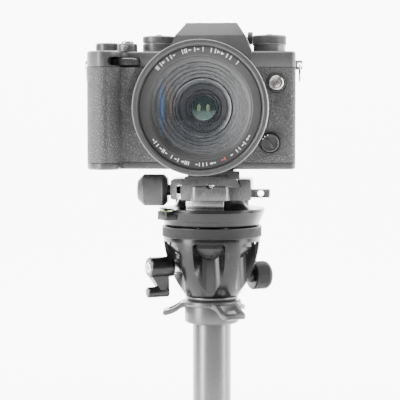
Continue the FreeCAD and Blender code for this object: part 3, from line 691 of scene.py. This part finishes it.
def lens_front():
    """The front tube with its filter thread, and the plate that holds the glass."""
    def thread(theta, radius, height):
        if 35.6 < radius < 36.3 and 105.9 < height < 107.8:
            return 0.16 * (wave(height / 0.62 + theta / (2 * math.pi)) - 0.5)
        return 0.0

    tube = [(29.6, 50), (31, 50), (31, 100.5), (38.6, 100.5), (39.15, 101), (39.15, 107.9), (38.7, 108.5),
            (36.7, 108.5), (36.05, 107.9), (36.0, 105.8), (35.5, 105.8), (35.5, 103.4), (29.6, 103.4)]
    stands_for(lathe("front_tube", tube, LENS, "lens", 256, thread, soft=0.3, rows=(105.8, 107.9, 0.12)),
               "inner_barrel")
    plate = [(28.0, 103.45), (35.4, 103.45), (35.4, 105.7), (34.9, 106.0), (30.3, 105.4), (29.8, 105.0),
             (29.3, 104.2), (28.6, 103.9), (28.0, 103.6)]
    stands_for(lathe("front_plate", plate, LENS, "cover_dark", 256, soft=0.15), "retaining_ring")


def ring_marks():
    """Bars and dashes in random order on the front plate, in four groups, the third of them red."""
    plate_edge, plate_up, plate_rise, plate_width = 30.3, 105.4, 106.0 - 105.4, 34.9 - 30.3
    bar, dash, dash_tall = 0.42, 1.3, 0.5
    gap_every = 7
    marks = bmesh.new()
    red = bmesh.new()
    slope = plate_rise / plate_width

    def stroke(target, centre, radius, across, along):
        corners = []
        for side, out in ((-1, -1), (-1, 1), (1, 1), (1, -1)):
            reach = radius + out * along / 2
            turn_to = math.radians(centre) + side * across / 2 / reach
            up = plate_up + 0.03 + (reach - plate_edge) * slope
            spot = Vector((reach * math.cos(turn_to), reach * math.sin(turn_to), up))
            corners.append(target.verts.new(LENS @ spot))
        target.faces.new(corners)

    for target, start, stop, step, radius, tall in ((marks, 137, 47, -4.1, 33.5, 2.5),
                                                    (marks, -30, -56, -3.7, 32.6, 2.1),
                                                    (red, -63, -68, -3.7, 32.6, 2.1),
                                                    (marks, -75, -151, -3.7, 32.6, 2.1)):
        for index in range(int((stop - start) / step) + 1):
            centre = start + index * step
            if index % gap_every == gap_every - 1:
                continue
            pattern = random.choice("IIHVD")
            if pattern in "IH":
                stroke(target, centre - 0.8, radius, bar, tall)
            if pattern in "HV":
                stroke(target, centre + 0.9, radius, bar, tall * (1.0 if pattern == "H" else 0.6))
            if pattern in "DV":
                stroke(target, centre, radius, dash, dash_tall)
    for build, name, material in ((marks, "ring_marks", "ink"), (red, "ring_red_marks", "red")):
        solid = bmesh.ops.extrude_face_region(build, geom=build.faces[:])
        lifted = [item for item in solid["geom"] if isinstance(item, bmesh.types.BMVert)]
        bmesh.ops.translate(build, vec=LENS.to_3x3() @ Vector((0, 0, 0.06)), verts=lifted)
        bmesh.ops.recalc_face_normals(build, faces=build.faces)
        goes_with(mesh_object(name, build, material), "retaining_ring")


def dome(name, radius, edge, apex, thick, material):
    """A lens element: a bulging front, a back that follows it and a ground edge."""
    steps = 24
    curve = (radius ** 2 + (apex - edge) ** 2) / (2 * (apex - edge))
    reaches = [radius * (1 - step / steps) for step in range(steps + 1)]
    front = [(reach, apex - curve + math.sqrt(curve ** 2 - reach ** 2)) for reach in reaches]
    back = [(reach, up - thick) for reach, up in reversed(front)]
    return lathe(name, back + front, LENS, material, 180, closed=False, soft=0.0)


def glass_elements():
    """A clear front element over stepped baffles, an inner lens in a bright rim and the glass behind it."""
    steps = [(29.6, 102.6), (28.6, 102.4), (28.5, 101.0), (26.6, 100.5), (26.3, 97.5), (24.3, 97.0),
             (24.0, 93.5), (22.2, 93.0), (21.9, 89.5), (20.2, 89.0), (19.9, 86.5), (18.0, 86.0),
             (17.7, 83.0), (15.0, 82.0), (15.0, 79.5), (30.6, 79.5), (30.6, 102.6)]
    rim = [(16.4, 86.0), (17.1, 86.3), (17.6, 86.0), (17.6, 84.0), (16.4, 84.0)]
    inner = [(16.5, 84.6), (16.3, 82.5), (13.6, 79.5), (10.9, 78.6), (10.5, 79.3), (10.1, 78.4), (9.0, 78.0),
             (8.7, 78.7), (8.2, 77.6), (6.4, 76.5), (6.2, 75.0), (16.5, 75.0)]
    pieces = [lathe("baffles", steps, LENS, "painted_glints", 200, soft=0.2),
              lathe("inner_rim", rim, LENS, "lens_edge", 160, soft=0.15),
              lathe("iris_cell", inner, LENS, "baffle", 160, soft=0.12),
              dome("rear_element", 8.1, 77.0, 78.4, 1.0, "deep_glass"),
              dome("front_element", 27.9, 101.2, 104.6, 0.8, "clear")]
    # painted reflections: two thin yellow-green discs beside the axis stand for the coatings' reflections
    for side in (-1, 1):
        flare = bmesh.new()
        bmesh.ops.create_icosphere(flare, subdivisions=3, radius=1)
        flare.transform(LENS @ Matrix.Translation((side * 2.7, 0, 78.4))
                        @ Matrix.Diagonal((1.15, 2.2, 0.12, 1)))
        pieces.append(mesh_object(f"reflection_{side}", flare, "flare"))
    stands_for(joined("lens_glass", pieces), "front_lens")


lens_rings()
lens_front()
ring_marks()
glass_elements()


# ---- dials, buttons, screen and finder --------------------------------------------------------------------

DIAL_BASE = 75.06            # just clear of the top cover, so that a dial can turn


def ring_of(labels, place, radius, size, start=90.0, sweep=-360.0):
    """Numerals round a dial's top, each facing outwards."""
    items = []
    for index, text in enumerate(labels):
        angle = math.radians(start + sweep * index / len(labels))
        spot = Matrix.Translation((radius * math.cos(angle), radius * math.sin(angle), 0))
        items.append((text, place @ spot @ Matrix.Rotation(angle - math.pi / 2, 4, "Z"), size))
    return items


def numbered_dial(kind, node, place, profile, segments, teeth, rows, labels, top, ring):
    """A ribbed dial with numerals on its top: ring is their radius and size, and maybe start and sweep."""
    dial = lathe(f"{kind}_grip", profile, place, "dial", segments, teeth, closed=False, soft=0.3, rows=rows)
    face = place @ Matrix.Translation((0, 0, top))
    numbers = written(f"{kind}_numbers", ring_of(labels, face, *ring), "ink")
    stands_for(joined(f"{node}_finished", [dial, numbers]), node)


def top_dials():
    tall = [(0, DIAL_BASE), (10, DIAL_BASE), (10.75, 75.7), (10.75, 80.1), (10.3, 80.6), (10.3, 81),
            (10.75, 81.5), (10.75, 84.8), (10.1, 85.4), (8.6, 85.4), (8.4, 85.2), (3.2, 85.2), (3.0, 85.5),
            (2.2, 85.6), (2.2, 86.4), (0, 86.4)]
    numbered_dial("shutter", "shutter_dial", at(-34.5, 2), tall, 720, ribs(96, 0.3, 76.0, 84.6, 10.6, 0.5),
                  (75.8, 84.7, 0.3), ("1", "2", "4", "8", "15", "30", "60", "125", "250", "500"), 85.2,
                  (6.2, 1.9))
    low = [(0, DIAL_BASE), (10.4, DIAL_BASE), (10.4, 79), (10.85, 79.5), (10.85, 85.2), (10.2, 85.8),
           (8.6, 85.8), (8.4, 85.6), (3.2, 85.6), (3.0, 85.9), (2.2, 86.0), (2.2, 86.7), (0, 86.7)]
    numbered_dial("iso", "iso_dial", at(37, 2), low, 720, ribs(96, 0.3, 79.8, 85.0, 10.7, 0.5),
                  (79.6, 85.1, 0.3), ("100", "200", "400", "800", "1600", "3200"), 85.6, (6.0, 1.8))
    side = [(0, DIAL_BASE), (7, DIAL_BASE), (7.75, 75.6), (7.75, 80.7), (7.1, 81.3), (6.6, 81.3),
            (6.4, 81.1), (0, 81.1)]
    numbered_dial("exposure", "exposure_dial", at(-68.8, 6), side, 576, ribs(72, 0.28, 75.9, 80.5, 7.6, 0.5),
                  (75.7, 80.6, 0.3), ("0", "1", "2", "3"), 81.1, (4.7, 1.6, 90, -160))


def shutter_release():
    """The shutter button in its power lever, and the front and rear wheels."""
    place = at(-54, -9)
    collar = [(4.3, DIAL_BASE), (6.5, DIAL_BASE), (6.5, 79.6), (6, 80.3), (4.3, 80.3)]
    lever = [lathe("lever_collar", collar, place, "dial", 480, ribs(60, 0.22, 75.6, 79.2, 6.4, 0.5),
                   soft=0.25, rows=(75.4, 79.4, 0.3)),
             block("lever_tab", (-1.5, -9.6, 76.4), (1.5, -5.4, 78.6), place, "dial", 0.5)]
    stands_for(joined("power_lever_finished", lever), "power_lever")
    button = [(0, 71.8), (2.3, 71.8), (2.3, 76.5), (4, 76.5), (4, 81.2), (3.7, 81.75), (3.3, 81.9),
              (2.2, 81.35), (1.3, 81.2), (1.2, 80.4), (0, 80.2)]
    stands_for(lathe("release_button", button, place, "chrome", 120, closed=False, soft=0.15),
               "shutter_button")
    wheel = [(0, 65.9), (8.4, 65.9), (9.0, 66.5), (9.0, 70.1), (8.4, 70.7), (0, 70.7)]
    stands_for(lathe("front_wheel", wheel, at(-54, -13.5), "dial", 576, ribs(48, 0.5, 66.5, 70.1, 8.9, 0.5),
                     closed=False, soft=0.25, rows=(66.4, 70.2, 0.3)), "front_dial")
    wheel = [(0, 66.5), (8.2, 66.5), (8.7, 67), (8.7, 69.8), (8.2, 70.3), (0, 70.3)]
    stands_for(lathe("rear_wheel", wheel, at(-36, 10.5), "dial", 576, ribs(48, 0.5, 67.0, 69.8, 8.6, 0.5),
                     closed=False, soft=0.25, rows=(66.9, 69.9, 0.3)), "rear_dial")


def front_controls():
    """The focus selector and the terminal cap, each in its seat."""
    selector = at(38, 0, 16.9) @ FORWARD
    knob = [(0, 13.2), (3.4, 13.2), (3.4, 17.1), (5.8, 17.1), (5.8, 20.2), (5.2, 20.8), (4.6, 20.8),
            (4.4, 20.3), (0, 20.3)]
    pieces = [lathe("selector_knob", knob, selector, "plastic", 480, ribs(40, 0.25, 17.4, 19.9, 5.7, 0.5),
                    closed=False, soft=0.2, rows=(17.3, 20.0, 0.3)),
              block("selector_ridge", (-0.9, -4.2, 20.1), (0.9, 4.4, 21.1),
                    selector @ Matrix.Rotation(0.6, 4, "Z"), "plastic", 0.35)]
    for angle in (150, 128, 106):
        spot = selector @ Matrix.Rotation(math.radians(angle), 4, "Z")
        pieces.append(block(f"selector_mark_{angle}", (4.7, -0.3, 20.55), (5.6, 0.3, 20.86), spot, "ink",
                            0.08))
    stands_for(joined("focus_selector_finished", pieces), "focus_selector")
    terminal = at(41.9, 0, 55) @ FORWARD
    cap = [(0, 13.2), (3.4, 13.2), (3.4, 17.1), (4.6, 17.1), (4.6, 18.2), (4.1, 18.7), (3.5, 18.7),
           (3.3, 18.0), (2.5, 18.0), (2.3, 18.6), (0, 18.6)]
    pieces = [lathe("terminal_cap", cap, terminal, "nickel", 160, closed=False, soft=0.15),
              # painted shade: the screw slot is a dark strip laid on the cap's top, not a cut
              block("painted_cap_slot_shade", (-1.9, -0.28, 18.5), (1.9, 0.28, 18.68),
                    terminal @ Matrix.Rotation(0.7, 4, "Z"), "baffle", 0.06)]
    stands_for(joined("terminal_finished", pieces), "sync_cap")
    seat = [(4.9, 16.4), (5.9, 16.4), (5.9, 17.5), (5.5, 17.9), (5.1, 17.9), (4.9, 17.6)]
    goes_with(lathe("terminal_seat", seat, terminal, "cover_dark", 144, soft=0.12), "top_cover")
    seat = [(6.3, 16.4), (7.1, 16.4), (7.1, 17.4), (6.8, 17.6), (6.3, 17.4)]
    goes_with(lathe("selector_seat", seat, selector, "cover_dark", 144, soft=0.12), "top_cover")


def rear_controls():
    """The screen, menu pad, buttons, diopter knob, shoe rails and thumb rest."""
    panel = [block("screen_frame", (-46.1, 15.7, 7.5), (32.5, 18.7, 60.5), at(), "plastic", 0.7, 3),
             block("screen_glass", (-44.0, 18.3, 11.0), (30.4, 18.85, 58.4), at(), "screen", 0.2),
             block("screen_hinge", (30.9, 16.4, 14.0), (32.6, 18.6, 54.0), at(), "steel", 0.4)]
    stands_for(joined("rear_screen_finished", panel), "rear_screen")
    place = at(-62, 0, 30) @ BACKWARD
    pad = [(0, 14.6), (7, 14.6), (7, 17.6), (6.4, 18.3), (3.6, 18.3), (3.3, 17.7), (2.9, 17.7), (2.7, 18.1),
           (0, 18.2)]
    pieces = [lathe("pad_ring", pad, place, "plastic", 160, closed=False, soft=0.2)]
    for angle in range(0, 360, 90):
        spot = place @ Matrix.Rotation(math.radians(angle), 4, "Z")
        pieces.append(block(f"pad_dot_{angle}", (4.7, -0.35, 18.1), (5.4, 0.35, 18.42), spot, "ink", 0.1))
    stands_for(joined("menu_pad_finished", pieces), "menu_pad")
    buttons = ((-52, 58.5, 2.6), (-70, 46, 2.3), (-62, 44.5, 2.3), (-55, 10.5, 2.3), (41.5, 58.5, 2.4),
               (41.5, 50.5, 2.4))
    for index, (x, up, radius) in enumerate(buttons):
        button = [(0, 16.6), (radius + 0.5, 16.6), (radius + 0.5, 17.15), (radius, 17.15), (radius, 17.9),
                  (radius - 0.5, 18.25), (0, 18.35)]
        goes_with(lathe(f"rear_button_{index}", button, at(x, 0, up) @ BACKWARD, "plastic", 96, closed=False,
                        soft=0.15), "rear_casing")
    knob = [(0, -1.0), (3.6, -1.0), (4.2, -0.4), (4.2, 2.2), (3.7, 2.7), (0, 2.7)]
    goes_with(lathe("diopter_knob", knob, at(23.3, 14, 84.6) @ SIDEWAYS, "dial", 320,
                    ribs(32, 0.35, -0.2, 2.0, 4.1, 0.5), closed=False, soft=0.25, rows=(-0.3, 2.1, 0.25)),
              "top_cover")
    shoe_middle, rail_offset, rail_half = 0.6, 8.3, 1.9
    for side in (-1, 1):
        x = shoe_middle + side * rail_offset
        goes_with(block(f"shoe_rail_{side}", (x - rail_half, -2.0, 92.6), (x + rail_half, 16.6, 94.0), at(),
                        "steel"), "top_cover")
    goes_with(block("thumb_rest", (-74, 16.3, 50.5), (-50, 19.6, 55.5), at(), "covering", 1.5, 4),
              "rear_casing")


top_dials()
shutter_release()
front_controls()
rear_controls()


# ---- stage, light and camera ------------------------------------------------------------------------------

def stage():
    """A paper floor that curves up into a wall, seen only from its front, made to glow as painted light and
    brighter towards the wall.
    """
    front, curve_from, curve, wall_top, half_width, steps = -2600, 700, 500, 3000, 3200, 12
    dim, bright = 0.9, 6.0
    dim_until, bright_from = 0.25, 0.9
    build = bmesh.new()
    rows = [(front, 0), (curve_from, 0)]
    for step in range(1, steps + 1):
        turn = math.radians(90 * step / steps)
        rows.append((curve_from + curve * math.sin(turn), curve - curve * math.cos(turn)))
    rows.append((curve_from + curve, wall_top))
    strips = [[build.verts.new((x, y, up)) for x in (-half_width, half_width)] for y, up in rows]
    for low, high in zip(strips, strips[1:]):
        build.faces.new((low[0], low[1], high[1], high[0]))
    sweep = mesh_object("studio_sweep", build, "plastic", 60)
    nodes = Nodes("studio_paper")
    nodes.join(nodes.mix(nodes.noise(3, 2), grey(246), grey(252)), nodes.shader.inputs["Base Color"])
    nodes.join(nodes.remap(nodes.noise(20, 2), 0.3, 0.7, 0.8, 0.9), nodes.shader.inputs["Roughness"])
    nodes.shader.inputs["Emission Color"].default_value = (1, 1, 1, 1)
    depth = nodes.add("ShaderNodeSeparateXYZ")
    nodes.join(nodes.place, depth.inputs[0])
    # painted light: the paper glows, dimly near the object and strongly towards the wall
    glow = nodes.remap(depth.outputs["Y"], dim_until, bright_from, dim, bright)
    nodes.join(glow, nodes.shader.inputs["Emission Strength"])
    one_sided = nodes.add("ShaderNodeMixShader")
    nodes.join(nodes.add("ShaderNodeNewGeometry").outputs["Backfacing"], one_sided.inputs[0])
    nodes.join(nodes.shader.outputs["BSDF"], one_sided.inputs[1])
    nodes.join(nodes.add("ShaderNodeBsdfTransparent").outputs["BSDF"], one_sided.inputs[2])
    nodes.join(one_sided.outputs["Shader"], nodes.tree.nodes["Material Output"].inputs["Surface"])
    sweep.data.materials.clear()
    sweep.data.materials.append(nodes.material)


def area_light(name, place, target, size, power):
    light = bpy.data.lights.new(name, "AREA")
    light.shape = "RECTANGLE"
    light.size, light.size_y = size
    light.energy = power
    holder = bpy.data.objects.new(name, light)
    holder.location = Vector(place)
    holder.rotation_mode = "QUATERNION"
    holder.rotation_quaternion = (Vector(target) - Vector(place)).to_track_quat("-Z", "Y")
    bpy.context.scene.collection.objects.link(holder)


def lighting():
    world = bpy.data.worlds.new("studio")
    world.use_nodes = True
    world.node_tree.nodes["Background"].inputs["Color"].default_value = (1, 1, 1, 1)
    world.node_tree.nodes["Background"].inputs["Strength"].default_value = 0.35
    bpy.context.scene.world = world
    middle = (0, 0, 0.28)
    area_light("left_strip", (-0.72, -0.50, 0.42), middle, (0.30, 1.1), 21)
    area_light("right_strip", (0.80, -0.10, 0.42), middle, (0.30, 1.1), 12)
    area_light("top_softbox", (-0.1, -0.10, 1.10), middle, (0.9, 0.7), 9)
    area_light("backdrop_wash", (0.0, 0.35, 1.3), (0, 1.2, 0.5), (2.2, 0.6), 22)


def photographer():
    """The camera stands a little to the right, near the lens's height, and looks slightly down."""
    distance, swing = 0.920, math.radians(3.75)
    eye_up, aim_aside, aim_down = 37.5, 0.0078, 20.7
    view = bpy.data.cameras.new("photographer")
    view.sensor_width = 36
    view.lens = 127.5
    view.clip_start, view.clip_end = 0.01, 20
    holder = bpy.data.objects.new("photographer", view)
    holder.location = (distance * math.sin(swing), -distance * math.cos(swing), (BASE + eye_up) * MM)
    aim = Vector((-aim_aside * math.cos(swing), -aim_aside * math.sin(swing), (BASE - aim_down) * MM))
    holder.rotation_mode = "QUATERNION"
    holder.rotation_quaternion = (aim - Vector(holder.location)).to_track_quat("-Z", "Y")
    bpy.context.scene.collection.objects.link(holder)
    bpy.context.scene.camera = holder


stage()
lighting()
photographer()
